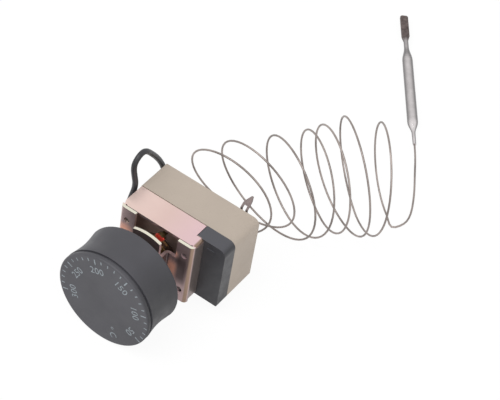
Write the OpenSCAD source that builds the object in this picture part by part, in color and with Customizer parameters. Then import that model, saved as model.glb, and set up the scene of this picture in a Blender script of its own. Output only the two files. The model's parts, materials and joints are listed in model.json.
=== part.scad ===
// Capillary thermostat: a dial knob on a screw spindle, a folded steel bracket with a raised mounting
// strap, a diaphragm capsule on a travelling nut, a snap switch in a moulded housing, and the sensing
// tube with its bulb. Origin: centre of the mounting strap's front face, on the spindle's axis.
// The knob looks along -Y, +Z is up.

/* [Housing] */
// Width of the moulded housing
housing_w = 53.5; // [50:0.5:60]
// Height of the housing and of the switch plate
housing_h = 37; // [36:0.5:42]
// Depth of the housing behind the switch plate
housing_d = 18.7; // [17:0.1:26]
// Distance from the spindle's axis to the left face
housing_left = 21; // [21:0.5:24]
// Wall of the housing
housing_wall = 2.4; // [1.8:0.1:3]
// Radius of the upper right corner
corner_r = 3.6; // [1:0.1:5]
// Radius of the other corners
small_corner_r = 0.9; // [0.5:0.1:2]

/* [Switch plate] */
// Thickness of the black switch plate
plate_t = 8; // [7:0.1:11]
// Depth of the contact chamber in the back of the plate
chamber_d = 3.6; // [3:0.1:4.5]
// Bore for the push pin
pin_bore_d = 3.1; // [2.6:0.05:3.6]

/* [Bracket] */
// Sheet thickness of the bracket
sheet_t = 1.5; // [1.2:0.1:1.8]
// Width of the bracket over its side walls
bracket_w = 41; // [40:0.5:42]
// Space between the front web and the switch plate
bracket_room = 6.8; // [6.5:0.1:9]
// How far the mounting strap stands before the web
strap_rise = 7.5; // [6.5:0.1:9]
// Width of the mounting strap
strap_w = 15; // [14:0.5:17]
// Length of the mounting strap from tip to tip
strap_l = 40; // [38:0.5:42]
// Height of the legs that carry the strap
leg_h = 15; // [12:0.5:17]
// Width of each ear at the sides of the window
ear_w = 8.6; // [8:0.1:9.2]
// Outside bend radius of the bracket
bend_r = 2.2; // [1.9:0.1:2.6]
// Distance of the two mounting threads, one above the other
mount_pitch = 28; // [26:0.5:30]
// Tapping diameter of the M4 mounting threads
mount_thread_d = 3.3; // [3.1:0.1:3.6]
// Shortening of the top flange where it lies over the switch plate
flange_step = 4.2; // [2:0.1:5]

/* [Knob] */
// Diameter of the knob
knob_d = 50; // [44:0.5:56]
// Length of the knob
knob_l = 22.4; // [19:0.1:26]
// Gap between the strap's face and the back of the knob
knob_gap = 6.4; // [5.5:0.1:9]
// Thickness of the dial at the knob's front
dial_t = 2; // [1.6:0.1:3.2]
// Depth of the groove behind the dial
groove_depth = 0.9; // [0.4:0.1:1.2]
// Width of the groove behind the dial
groove_w = 1.2; // [0.5:0.1:1.4]
// Depth of the waist in the grip
waist = 0.9; // [0.2:0.1:1.2]
// Wall of the hollow knob
knob_wall = 3; // [2.4:0.1:4]
// Diameter of the knob's hub
hub_d = 14; // [12:0.5:17]
// Number of ribs between hub and wall
rib_count = 6; // [4:1:8]

/* [Spindle] */
// Diameter of the spindle
spindle_d = 6; // [5.6:0.1:6.4]
// Height of the D over its flat
spindle_flat = 4.6; // [4.2:0.1:5]
// Running clearance of round fits, on the radius
fit_gap = 0.05; // [0.03:0.01:0.09]
// Outside diameter of the bush
bush_d = 9.5; // [9:0.1:10.2]
// Diameter of the bush's flange
bush_flange_d = 11.6; // [11:0.1:11.6]
// Thread diameter of the adjusting screw
screw_d = 5; // [4.5:0.1:5.4]

/* [Capsule] */
// Diameter of the diaphragm capsule
capsule_d = 19; // [17:0.5:21]
// Thickness of the capsule at its rim
capsule_rim_t = 0.8; // [0.6:0.1:1]
// Thickness of the capsule at its raised centre
capsule_t = 2.2; // [1.8:0.1:2.6]
// Width over the flats of the travelling nut
nut_w = 11; // [10.5:0.1:11.4]

/* [Sensing tube] */
// Outside diameter of the tube
tube_d = 1; // [0.8:0.1:1.4]
// Diameter of the bulb
bulb_d = 5.6; // [5:0.1:6.4]
// Length of the bulb's barrel
barrel_l = 46; // [36:1:60]

/* [Jumper wire] */
// Outside diameter of the insulated wire
wire_d = 2.8; // [2.4:0.1:3.2]

/* [Hidden] */

eps = 0.01;
seat_gap = 0.3;          // clearance between pieces that pass each other
round_fn = 64;

web_y = strap_rise;                       // front face of the web
plate_y = web_y + sheet_t + bracket_room; // front face of the switch plate
housing_y = plate_y + plate_t;            // front face of the housing
back_y = housing_y + housing_d;           // back face of the housing
top_z = housing_h / 2;
left_x = -housing_left;
right_x = housing_w - housing_left;
knob_back_y = -knob_gap;
knob_front_y = -knob_gap - knob_l;
floor_z = -knob_d / 2;                    // the surface that the knob's rim touches

// Bracket
web_back_y = web_y + sheet_t;
bracket_l_x = -bracket_w / 2;
bracket_r_x = bracket_w / 2;
flange_r_x = bracket_r_x - flange_step;   // right end of the flange over the plate
flange_end_y = housing_y - 0.5;           // the flange stops just before the housing
window_w = bracket_w - 2 * ear_w;
strap_r = strap_l / 2;                    // the strap's ends are round about the spindle
slot_w = strap_w - 2 * sheet_t;           // free width between the legs
tube_notch_w = 3.4;
flange_clip = [1.9, 4.2];                 // clipped front left corner of the flange
relief = 0.4;                             // gap beside each bend in the sheet
flange_front_y = web_back_y + seat_gap;   // the flanges' cut front edge, just behind the web
bend_y = web_y + bend_r;                  // side walls and their bends to the flanges start here

// Tie screws, which hold housing, plate and bracket together
tie_x = bracket_r_x - ear_w / 2;
tie_edge = 7.2;                           // from the upper and lower face to the screws
tie_z = top_z - tie_edge;                 // height of the screws over and under the axis
tie_d = 3;
tie_hole_d = tie_d + 0.2;
tie_head_d = 5.6;
tie_head_t = 2.2;
cross_l = 3.2;                            // recess in the head: length, width and depth
cross_w = 0.7;
cross_depth = 1.2;
boss_d = 7;

// Spindle, from the knob backwards
bush_front_y = -2.5;
bush_flange_t = 1;
bush_back_y = sheet_t + bush_flange_t;
bush_bore_d = spindle_d + 2 * fit_gap;
bush_flange_w = slot_w - 2 * (bend_r - sheet_t) - 0.2; // flats that clear the bends of the legs
ring_t = 0.6;
ring_y = bush_front_y - seat_gap - ring_t;
ring_d = 9.6;
groove_floor_d = spindle_d - 1.2;
collar_d = 7.4;
collar_t = 0.9;
collar_y = bush_back_y + 0.1;
cam_t = 1.2;
cam_y = collar_y + collar_t;
cam_r = slot_w / 2 - seat_gap;            // tip of the stop arm
cam_hub_r = collar_d / 2 - 0.3;
stop_pin_d = 1.6;
stop_pin_sunk = 0.8;
stop_pin_r = cam_r - stop_pin_d / 2 - 0.1; // stop pin's distance from the axis
turn_low = 118;                           // degrees from rest to the lowest mark
turn_high = 109;                          // degrees from rest to the highest mark
stop_margin = 1;                          // degrees left before the arm meets the pin
pin_half = asin(stop_pin_d / 2 / stop_pin_r);
arm_half = 180 - (turn_low + turn_high) / 2 - pin_half - stop_margin;
arm_turn = (turn_high - turn_low) / 2;    // puts the arm midway between its limits
screw_y = cam_y + cam_t;
socket_l = 15;                            // depth of the knob's D socket

// Travelling nut and capsule
nut_y = screw_y + 0.9;
nut_l = 4.4;
nut_flat_w = min(nut_w, slot_w - 2 * seat_gap);
nut_bore_d = screw_d + 2 * fit_gap;
capsule_y = nut_y + nut_l;                // front of the capsule
screw_end_y = capsule_y - 0.8;
capsule_back_y = capsule_y + capsule_t;
rim_y = capsule_y + (capsule_t - capsule_rim_t) / 2;
button_d = 4;
button_l = 1.4;
stub_d = 2.4;
stub_end_z = -capsule_d / 2 - 2;
stub_y = rim_y + capsule_rim_t / 2;

// Switch
pin_d = pin_bore_d - 2 * fit_gap;
pin_front_y = capsule_back_y + button_l + seat_gap;
chamber_y = housing_y - chamber_d;        // floor of the chamber in the plate
strip_t = 0.8;
arm_pivot_x = -13;
arm_end_x = 13.5;
arm_w = 5;
arm_front_y = housing_y + 0.6;
arm_pivot_y = arm_front_y + strip_t / 2;
pivot_d = 1.6;
eye_d = 3.8;
contact_x = 11;
contact_d = 4;
contact_t = 1.4;
moving_contact_t = 0.8;
pin_end_y = arm_front_y - 0.25;
ear_in = arm_w / 2 + 0.5;                 // inner face of the ears that hold the pivot
ear_out = ear_in + strip_t;
ear_half = 2;                             // half width of an ear
load_w = 3.8;
load_x = min(tie_x + boss_d / 2 + 0.2, right_x - housing_wall - seat_gap - load_w); // beside the boss
load_z = 5.6;                             // height at which the load terminal goes through the wall
foot_x = 7;                               // left end of the load terminal's foot
foot_w = 5;
load_out_y = back_y + tie_head_t + 0.4;   // plane of the load terminal behind the housing
load_bend_z = top_z - 2;                  // above this the load terminal's tab leans back
load_lean = 45;
load_tab_l = 7;
load_slot = [1, 2.8];                     // slot between the two legs of the tab
load_slot_l = [3, 1.8];                   // length of the slot before and after the bend
arm_riser_x = boss_d / 2 + 0.7 - tie_x;   // beside the boss too
arm_riser_w = 5;
arm_exit_z = 8.4;
screw_hole_z = 2.5;
spring_x = 4.5;
spring_d = 4.4;
spring_wire = 0.6;
spring_turns = 5;
spring_post_l = 9;                        // post behind the spring, from the housing's back
spring_seat_y = back_y - spring_post_l;
spring_y = arm_front_y + strip_t + 0.9 + spring_wire / 2;
spring_end_y = spring_seat_y - seat_gap - spring_wire / 2;
terminal_screw_d = 3.4;
terminal_screw_l = 7;
terminal_head_d = 6.4;
terminal_head_t = 2.2;
lug_y = back_y + strip_t;
lug_x = arm_riser_x + arm_riser_w / 2;
lug_d = 7;
crimp_d = wire_d + 1;
crimp_x = lug_x - lug_d / 2 - 0.4;        // end of the lug's barrel beside the screw
crimp_l = 4.6;
wire_end_y = lug_y + crimp_d / 2 + 0.4;
wire_in_y = plate_y + 2.6;
wire_in_z = 6;
wire_in_depth = 3.6;

// Calibration screw, beside the capsule
cal_x = 2;
cal_room = top_z - sheet_t - capsule_d / 2; // free height between capsule and flange
cal_z = capsule_d / 2 + 0.4 * cal_room;
cal_head_size = 4.6;                      // head of the calibration screw, where there is room
cal_head_d = min(cal_head_size, cal_room - 1);
cal_head_t = 2;
cal_head_y = web_y + 0.3;
cal_d = 2.6;

// Extrudes a shape drawn in X and Z along Y, from y0 to y1
module slab(y0, y1) {
    translate([0, y1, 0]) rotate([90, 0, 0]) linear_extrude(height = y1 - y0) children();
}

// Round bar along Y
module rod(d, y0, y1, x = 0, z = 0, fn = round_fn) {
    translate([x, y0, z]) rotate([-90, 0, 0]) cylinder(d = d, h = y1 - y0, $fn = fn);
}

// Box from one corner to the other
module block(a, b) {
    translate(a) cube(b - a);
}

// Outline of the housing and the plate in X and Z, with the wall taken off
module outline(inset = 0) {
    w = housing_w - 2 * inset;
    h = housing_h - 2 * inset;
    difference() {
        translate([left_x + inset, -top_z + inset]) square([w, h]);
        corner(right_x, top_z, corner_r, inset, 1, 1);
        corner(left_x, top_z, small_corner_r, inset, -1, 1);
        corner(right_x, -top_z, small_corner_r, inset, 1, -1);
        corner(left_x, -top_z, small_corner_r, inset, -1, -1);
    }
}

// Square of one quadrant
module quadrant(sx, sy, l) {
    translate([sx > 0 ? 0 : -l, sy > 0 ? 0 : -l]) square(l);
}

// What a rounded corner takes off the outline
module corner(x, z, r, inset, sx, sz) {
    if (r > inset)
        translate([x - sx * r, z - sz * r]) difference() {
            quadrant(sx, sz, r + 1);
            circle(r = r - inset, $fn = round_fn);
        }
}

module tie_positions() {
    for (x = [-tie_x, tie_x], z = [-tie_z, tie_z]) translate([x, 0, z]) children();
}

module housing() color("#c3b8a8") {
    boss_end_y = back_y - housing_wall + eps;
    difference() {
        union() {
            difference() {
                slab(housing_y, back_y) outline();
                slab(housing_y - 1, back_y - housing_wall) outline(housing_wall);
            }
            tie_positions() rod(boss_d, housing_y, boss_end_y);
            rod(terminal_head_d + 1.6, back_y - terminal_screw_l - 1, boss_end_y, lug_x, screw_hole_z);
            rod(spring_d + 1.2, spring_seat_y, boss_end_y, spring_x);
        }
        tie_positions() rod(tie_hole_d, housing_y - 1, back_y + 1);
        rod(terminal_screw_d + 0.2, back_y - terminal_screw_l + 0.5, back_y + 1, lug_x, screw_hole_z);
        wall_slot(load_x, load_w, load_z);
        wall_slot(arm_riser_x, arm_riser_w, arm_exit_z);
    }
}

// Slot in the back wall that a terminal strip passes through
module wall_slot(x, w, z) {
    block([x - 0.2, back_y - housing_wall - 1, z - strip_t / 2 - 0.1],
          [x + w + 0.2, back_y + 1, z + strip_t / 2 + 0.1]);
}

module switch_plate() color("#2b2b2e") {
    difference() {
        union() {
            slab(plate_y, housing_y) outline();
            // Moulded ridge on the bare part of the face
            block([bracket_r_x + 2.2, plate_y - 0.4, top_z - 4.4], [bracket_r_x + 6.4, plate_y + 1, top_z - 3.4]);
        }
        for (s = [-1, 1]) flange_recess(s);
        chamber();
        rod(pin_bore_d, plate_y - 1, chamber_y + 1);
        tie_positions() rod(tie_hole_d, plate_y - 1, housing_y + 1);
        rod(cal_d - 0.1, plate_y - 1, plate_y + 3.2, cal_x, cal_z);
        translate([left_x - 1, wire_in_y, wire_in_z]) rotate([0, 90, 0])
            cylinder(d = wire_d + 0.2, h = wire_in_depth + 1, $fn = round_fn);
    }
}

// Room for a flange where it lies over the plate
module flange_recess(s) {
    z0 = top_z - sheet_t - 0.1;
    h = sheet_t + 1;
    translate([left_x - 1, plate_y - 1, s > 0 ? z0 : -z0 - h])
        cube([flange_r_x + 0.3 - left_x + 1, plate_t + 2, h]);
}

// Contact chamber in the back of the plate, with its screw bosses left standing
module chamber() {
    wall_x = housing_wall;
    z = top_z - sheet_t - housing_wall;
    difference() {
        block([left_x + wall_x, chamber_y, -z], [right_x - wall_x, housing_y + 1, z]);
        tie_positions() rod(boss_d, chamber_y - 1, housing_y + 2);
    }
}

// Quarter of a ring: a bend in the sheet, with r as its outside radius
module bend_arc(r, t, sx, sy) {
    intersection() {
        difference() {
            circle(r = r, $fn = round_fn);
            circle(r = r - t, $fn = round_fn);
        }
        quadrant(sx, sy, r + 1);
    }
}

// Sheet bent to a wide U, drawn in X and Y: web in front, sides going back
module u_profile(w, y0, y1, t, r) {
    translate([r - w / 2, y0]) square([w - 2 * r, t]);
    for (s = [-1, 1]) {
        translate([s > 0 ? w / 2 - t : -w / 2, y0 + r]) square([t, y1 - y0 - r]);
        translate([s * (w / 2 - r), y0 + r]) bend_arc(r, t, s, -1);
    }
}

// One folded sheet: ears and side walls, two flanges, and the strap raised out of the middle of the web
module bracket() color("#d9b8a0") {
    slot_x = slot_w / 2 + bend_r;
    difference() {
        linear_extrude(height = housing_h, center = true)
            u_profile(bracket_w, web_y, bend_y + eps, sheet_t, bend_r);
        for (s = [-1, 1]) window_cut(s);
        block([-slot_x, web_y - 1, -leg_h / 2 - 1], [slot_x, web_back_y + 1, leg_h / 2 + 1]);
        tie_positions() rod(tie_d + 0.1, web_y - 1, web_back_y + 1);
    }
    difference() {
        flanges();
        // Notch for the sensing tube in the lower flange
        translate([0, stub_y, -top_z - 1]) linear_extrude(height = sheet_t + 2) {
            circle(d = tube_notch_w, $fn = round_fn);
            translate([-tube_notch_w / 2, flange_front_y - stub_y - 1])
                square([tube_notch_w, stub_y - flange_front_y + 1]);
        }
    }
    strap();
}

// Window above (s = 1) or below (s = -1) the arms that carry the strap, open to the flange
module window_cut(s) {
    z0 = leg_h / 2;
    z1 = top_z + 1;
    block([-window_w / 2, web_y - 1, s > 0 ? z0 : -z1],
          [window_w / 2, web_back_y + 0.1, s > 0 ? z1 : -z0]);
}

// Upper and lower flange, bent from the side walls and shorter where they lie over the switch plate
module flanges() {
    flat_x = bracket_r_x - bend_r - 0.2;
    for (s = [-1, 1]) mirror([0, 0, s > 0 ? 1 : 0]) difference() {
        union() {
            slab(bend_y, plate_y) u_profile(bracket_w, -top_z, eps, sheet_t, bend_r);
            block([-flat_x, flange_front_y, -top_z], [flat_x, bend_y + eps, sheet_t - top_z]);
            block([bracket_l_x, plate_y - eps, -top_z], [flange_r_x, flange_end_y, sheet_t - top_z]);
            // The left edge lies flat over the side wall
            block([bracket_l_x, bend_y, -top_z], [bracket_l_x + bend_r, plate_y, sheet_t - top_z]);
        }
        translate([bracket_l_x, web_y, -top_z - 1]) linear_extrude(height = sheet_t + 2)
            polygon([[-1, -1], [flange_clip.x, -1], [flange_clip.x, 0], [0, flange_clip.y], [-1, flange_clip.y]]);
    }
}

// Mounting strap in front of the web, with the legs and the bends that carry it
module strap() {
    leg_end_y = web_back_y - bend_r;
    difference() {
        union() {
            slab(0, sheet_t) difference() {
                intersection() {
                    square([strap_w, strap_l + 1], center = true);
                    circle(r = strap_r, $fn = 2 * round_fn);
                }
                for (s = [-1, 1]) translate([s * strap_w / 2, 0])
                    square([2 * bend_r, leg_h + 2 * relief], center = true);
            }
            linear_extrude(height = leg_h, center = true) {
                u_profile(strap_w, 0, leg_end_y, sheet_t, bend_r);
                for (s = [-1, 1]) translate([s * (slot_w / 2 + bend_r), leg_end_y])
                    bend_arc(bend_r, sheet_t, -s, 1);
            }
            for (s = [-1, 1]) {
                x0 = s > 0 ? slot_w / 2 + bend_r - eps : -window_w / 2 - eps;
                block([x0, web_y, -leg_h / 2],
                      [x0 + window_w / 2 - slot_w / 2 - bend_r + 2 * eps, web_back_y, leg_h / 2]);
            }
        }
        rod(bush_d, -1, sheet_t + 1);
        for (s = [-1, 1]) rod(mount_thread_d, -1, sheet_t + 1, 0, s * mount_pitch / 2);
    }
}

module spindle_bush() color("#b9a878") {
    difference() {
        union() {
            rod(bush_d - 0.04, bush_front_y, bush_back_y);
            slab(sheet_t, bush_back_y) intersection() {
                circle(d = bush_flange_d, $fn = round_fn);
                square([bush_flange_w, bush_flange_d], center = true);
            }
        }
        rod(bush_bore_d, bush_front_y - 1, bush_back_y + 1);
        rod(stop_pin_d + 0.04, bush_back_y - stop_pin_sunk, bush_back_y + 1, 0, -stop_pin_r);
    }
}

// Side of the knob as a profile: x is the radius, y runs from the front face to the back
function knob_side() = let (r = knob_d / 2, edge = 1, back_edge = 1, steps = 8)
    concat(
        [for (i = [0:steps]) let (a = 90 * i / steps) [r - edge + edge * sin(a), edge - edge * cos(a)]],
        [[r, dial_t], [r - groove_depth, dial_t + 0.15], [r - groove_depth, dial_t + groove_w]],
        [for (i = [0:2 * steps]) let (f = i / (2 * steps), y0 = dial_t + groove_w + 0.15)
            [r - waist * sin(180 * f), y0 + (knob_l - back_edge - y0) * f]],
        [for (i = [1:steps]) let (a = 90 * i / steps)
            [r - back_edge + back_edge * cos(a), knob_l - back_edge + back_edge * sin(a)]]);

module knob() color("#3a3a3e") {
    face_t = dial_t + 1.6;
    difference() {
        translate([0, knob_front_y, 0]) rotate([-90, 0, 0]) difference() {
            rotate_extrude($fn = 2 * round_fn) polygon(concat([[0, 0]], knob_side(), [[0, knob_l]]));
            translate([0, 0, face_t]) difference() {
                cylinder(r = knob_d / 2 - waist - knob_wall, h = knob_l, $fn = round_fn);
                translate([0, 0, -1]) cylinder(d = hub_d, h = knob_l, $fn = round_fn);
                for (i = [0:rib_count - 1]) rotate(360 * i / rib_count)
                    translate([0, -0.8, -1]) cube([knob_d / 2, 1.6, knob_l - face_t - 3]);
            }
        }
        // D socket for the spindle, open at the hub's back
        slab(knob_back_y - socket_l, knob_back_y + 1) d_section(0.05);
        // Hub ends a little inside the rim
        rod(hub_d + 1, knob_back_y - 0.8, knob_back_y + 1);
    }
}

// D-shaped section of the spindle in X and Z, flat on top
module d_section(gap) {
    difference() {
        circle(d = spindle_d + 2 * gap, $fn = round_fn);
        translate([-spindle_d, spindle_flat - spindle_d / 2 + gap]) square([2 * spindle_d, spindle_d]);
    }
}

module spindle() color("#c9c6bd") {
    slab(knob_back_y - socket_l + 0.4, knob_back_y + 1.2) d_section(0);
    difference() {
        rod(spindle_d, knob_back_y + 1, cam_y);
        difference() {
            rod(spindle_d + 1, ring_y - 0.05, ring_y + ring_t + 0.05);
            rod(groove_floor_d, ring_y - 1, ring_y + ring_t + 1);
        }
    }
    rod(collar_d, collar_y, cam_y);
    rod(screw_d, cam_y, screw_end_y);
}

module retaining_ring() color("#8c8f94") {
    slab(ring_y, ring_y + ring_t) difference() {
        circle(d = ring_d, $fn = round_fn);
        circle(d = groove_floor_d + 0.04, $fn = round_fn);
        translate([-groove_floor_d / 2 + 0.5, -ring_d]) square([groove_floor_d - 1, ring_d]);
        for (s = [-1, 1]) translate([s * ring_d * 0.34, ring_d * 0.12]) circle(d = 1.3, $fn = round_fn);
    }
}

// Stop arm: a hub with a broad sector whose ends meet the stop pin
module stop_arm() color("#a8aab0") {
    steps = 24;
    slab(cam_y, screw_y) rotate(arm_turn) difference() {
        union() {
            circle(r = cam_hub_r, $fn = round_fn);
            intersection() {
                circle(r = cam_r, $fn = round_fn);
                polygon(concat([[0, 0]], [for (i = [0:steps]) let (a = 90 - arm_half + 2 * arm_half * i / steps)
                    2 * cam_r * [cos(a), sin(a)]]));
            }
        }
        circle(d = screw_d + 0.04, $fn = round_fn);
    }
}

module stop_pin() color("#c9c6bd") {
    rod(stop_pin_d, bush_back_y - stop_pin_sunk, screw_y + 0.2, 0, -stop_pin_r);
}

module adjusting_nut() color("#c7b06a") {
    difference() {
        slab(nut_y, capsule_y) difference() {
            square([nut_flat_w, nut_flat_w], center = true);
            for (a = [45:90:315]) rotate(a) translate([nut_flat_w * 0.62, -nut_flat_w]) square(2 * nut_flat_w);
        }
        rod(nut_bore_d, nut_y - 1, capsule_y + 1);
    }
}

module diaphragm_capsule() color("#c08a5a") {
    crown_r = capsule_d / 2 - 1.6;
    translate([0, capsule_y, 0]) rotate([-90, 0, 0]) rotate_extrude($fn = round_fn) polygon([
        [0, 0], [crown_r - 1.2, 0], [crown_r, (capsule_t - capsule_rim_t) / 2],
        [capsule_d / 2, (capsule_t - capsule_rim_t) / 2], [capsule_d / 2, (capsule_t + capsule_rim_t) / 2],
        [crown_r, (capsule_t + capsule_rim_t) / 2], [crown_r - 1.2, capsule_t], [button_d / 2, capsule_t],
        [button_d / 2, capsule_t + button_l], [0, capsule_t + button_l]]);
    translate([0, stub_y, stub_end_z]) cylinder(d = stub_d, h = 3, $fn = round_fn);
}

module push_pin() color("#efe9dc") {
    rod(pin_d, pin_front_y, pin_end_y);
}

module calibration_screw() color("#c9b46c") {
    difference() {
        union() {
            rod(cal_head_d, cal_head_y, cal_head_y + cal_head_t, cal_x, cal_z);
            rod(cal_d - 0.2, cal_head_y + cal_head_t - eps, plate_y + 3, cal_x, cal_z);
        }
        block([cal_x - 3, cal_head_y - 1, cal_z - 0.35], [cal_x + 3, cal_head_y + 0.8, cal_z + 0.35]);
    }
}

// Contact arm: a strip with a curled eye round its pivot and a contact button at its free end
module contact_arm() color("#c58a4e") {
    difference() {
        union() {
            block([arm_pivot_x, arm_front_y, -arm_w / 2], [arm_end_x, arm_front_y + strip_t, arm_w / 2]);
            translate([arm_pivot_x, arm_pivot_y, -arm_w / 2]) cylinder(d = eye_d, h = arm_w, $fn = round_fn);
            rod(contact_d, arm_front_y - moving_contact_t, arm_front_y + eps, contact_x);
        }
        translate([arm_pivot_x, arm_pivot_y, -arm_w / 2 - 1])
            cylinder(d = pivot_d + 2 * fit_gap, h = arm_w + 2, $fn = round_fn);
    }
}

module contact_pivot() color("#c9c6bd") {
    translate([arm_pivot_x, arm_pivot_y, -ear_out - 0.5]) cylinder(d = pivot_d, h = 2 * ear_out + 1, $fn = round_fn);
}

// Terminal of the contact arm: ears for the pivot, a strip through the wall, a plate under the screw
module arm_terminal() color("#c9a861") {
    x1 = arm_riser_x + arm_riser_w;
    strip_z = arm_exit_z + strip_t / 2;
    difference() {
        union() {
            block([arm_pivot_x - ear_half, chamber_y, -ear_out], [x1, chamber_y + strip_t, ear_out]);
            for (z = [ear_in, -ear_out])
                block([arm_pivot_x - ear_half, chamber_y, z],
                      [arm_pivot_x + ear_half, arm_pivot_y + ear_half, z + strip_t]);
            block([arm_riser_x, chamber_y, ear_out - eps], [x1, chamber_y + strip_t, strip_z]);
            block([arm_riser_x, chamber_y, strip_z - strip_t], [x1, back_y + strip_t, strip_z]);
            block([arm_riser_x, back_y, screw_hole_z - arm_riser_w], [x1, back_y + strip_t, strip_z]);
        }
        translate([arm_pivot_x, arm_pivot_y, -ear_out - 1])
            cylinder(d = pivot_d + 0.04, h = 2 * ear_out + 2, $fn = round_fn);
        rod(terminal_screw_d + 0.2, back_y - 1, back_y + 2, lug_x, screw_hole_z);
    }
}

// Load terminal: foot with the fixed contact, a strip through the wall and a forked tab that leans back
module load_terminal() color("#b98a5a") {
    x1 = load_x + load_w;
    strip_z = load_z + strip_t / 2;
    foot_y = chamber_y + strip_t;
    slot_x = [load_x + load_slot[0], load_x + load_slot[1]];
    difference() {
        union() {
            block([foot_x, chamber_y, -foot_w / 2], [x1, foot_y, foot_w / 2]);
            rod(contact_d, foot_y - eps, foot_y + contact_t, contact_x);
            block([load_x, chamber_y, foot_w / 2 - eps], [x1, foot_y, strip_z]);
            block([load_x, chamber_y, strip_z - strip_t], [x1, load_out_y + strip_t, strip_z]);
            block([load_x, load_out_y, strip_z - strip_t], [x1, load_out_y + strip_t, load_bend_z]);
            leaning() slab(0, strip_t) load_tab();
        }
        block([slot_x[0], load_out_y - 1, load_bend_z - load_slot_l[0]], [slot_x[1], load_out_y + 2, load_bend_z]);
        leaning() block([load_slot[0], -1, -1], [load_slot[1], 2, load_slot_l[1]]);
    }
}

// Places the tab on the load terminal's upper bend
module leaning() {
    translate([load_x, load_out_y, load_bend_z]) rotate([-load_lean, 0, 0]) children();
}

// Outline of the tab, with a narrow tip to one side
module load_tab() {
    w = load_w;
    l = load_tab_l;
    polygon([[0, 0], [w, 0], [w, 0.37 * l], [0.97 * w, 0.66 * l], [0.79 * w, l], [0.6 * w, l],
        [0.24 * w, 0.66 * l], [0, 0.37 * l]]);
}

module terminal_screw() color("#c9c6bd") {
    head_y = lug_y + strip_t;
    translate([lug_x, 0, screw_hole_z]) difference() {
        union() {
            rod(terminal_screw_d, back_y - terminal_screw_l + 1, head_y + eps);
            rod(terminal_head_d, head_y, head_y + terminal_head_t);
        }
        block([-terminal_head_d, head_y + 1.2, -0.45], [terminal_head_d, head_y + terminal_head_t + 1, 0.45]);
    }
}

module tie_screws() color("#c9c6bd") {
    tie_positions() difference() {
        union() {
            rod(tie_d, web_y + 0.9, back_y + eps);
            rod(tie_head_d, back_y, back_y + tie_head_t);
        }
        for (a = [0, 90]) translate([0, back_y + tie_head_t - cross_depth, 0]) rotate([0, a, 0])
            translate([-cross_l / 2, 0, -cross_w / 2]) cube([cross_l, cross_depth + 1, cross_w]);
    }
}

// Ring under the terminal's screw with a barrel crimped on the wire
module jumper_lug() color("#b9b5aa") {
    difference() {
        union() {
            rod(lug_d, lug_y, lug_y + strip_t, lug_x, screw_hole_z);
            block([crimp_x - 1.4, lug_y, screw_hole_z - 1.4], [crimp_x + 1.4, lug_y + strip_t, screw_hole_z + 1.4]);
            crimp(crimp_d, 0);
        }
        rod(terminal_screw_d + 0.2, lug_y - 1, lug_y + 2, lug_x, screw_hole_z);
        crimp(wire_d + 0.1, 1);
    }
}

// Barrel of the lug, level and towards the left, longer by extra at both ends
module crimp(d, extra) {
    translate([crimp_x + extra, wire_end_y, screw_hole_z]) rotate([0, -90, 0])
        cylinder(d = d, h = crimp_l + 2 * extra, $fn = round_fn);
}

// Round tubes and wires swept along a list of centre points
function unit(v) = v / norm(v);
function tangents(p) = let (n = len(p) - 1) [for (i = [0:n]) unit(p[min(i + 1, n)] - p[max(i - 1, 0)])];
function squared(v, t) = unit(v - (v * t) * t);

// Normals that turn as little as they can along the way
function normals(t, i = 0, v = [0.31, 0.52, 0.8]) =
    i >= len(t) ? [] : let (n = squared(v, t[i])) concat([n], normals(t, i + 1, n));

module swept(p, d, sides = 8) {
    t = tangents(p);
    n = normals(t);
    last = len(p) - 1;
    polyhedron(
        points = [for (k = [0:last], j = [0:sides - 1]) let (a = 360 * j / sides)
            p[k] + d / 2 * (cos(a) * n[k] + sin(a) * cross(t[k], n[k]))],
        faces = concat(
            [[for (j = [0:sides - 1]) j]],
            [for (k = [0:last - 1], j = [0:sides - 1]) let (i = (j + 1) % sides)
                [k * sides + j, (k + 1) * sides + j, (k + 1) * sides + i, k * sides + i]],
            [[for (j = [sides - 1:-1:0]) last * sides + j]]));
}

// Smooth curve through the points p, with n steps from each to the next
function through(p, n) = let (m = len(p) - 1) concat(
    [for (i = [0:m - 1], k = [0:n - 1]) let (f = k / n, a = p[max(i - 1, 0)], b = p[i], c = p[i + 1],
        e = p[min(i + 2, m)]) 0.5 * (2 * b + f * (c - a) + f * f * (2 * a - 5 * b + 4 * c - e)
        + f * f * f * (3 * b - a - 3 * c + e))],
    [p[m]]);

// The wire leaves the switch plate at the left, rises in a loop beside the housing and ends in the lug
wire_route = [
    [wire_in_depth - 0.2 - housing_left, wire_in_y, wire_in_z], [-21, wire_in_y, wire_in_z],
    [-22.8, 18.6, 6.5], [-23.7, 19.4, 8.7], [-23.6, 20.6, 12], [-23.3, 21.7, 16], [-23.5, 22.2, 19.6],
    [-24.5, 22.4, 23.2], [-25.3, 22.6, 26.4], [-25.6, 23.3, 29.6], [-25.6, 25.6, 32], [-25.6, 28.8, 32.7],
    [-25.5, 32, 31], [-25.4, 36, 26.6], [crimp_x - 11.8, 40, 21.5], [crimp_x - 11.4, 42.8, 17.2],
    [crimp_x - 10.6, 44.6, 13.2], [crimp_x - 9.5, 45.5, 8.9], [crimp_x - 7.8, 45.8, 5.6],
    [crimp_x - 6, 45.7, 3.4], [crimp_x - crimp_l + 0.4, wire_end_y, screw_hole_z],
    [crimp_x - 2.4, wire_end_y, screw_hole_z], [crimp_x - 0.8, wire_end_y, screw_hole_z]];

module jumper_wire() color("#1c1c1e") {
    swept(through(wire_route, 2), wire_d);
}

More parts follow.
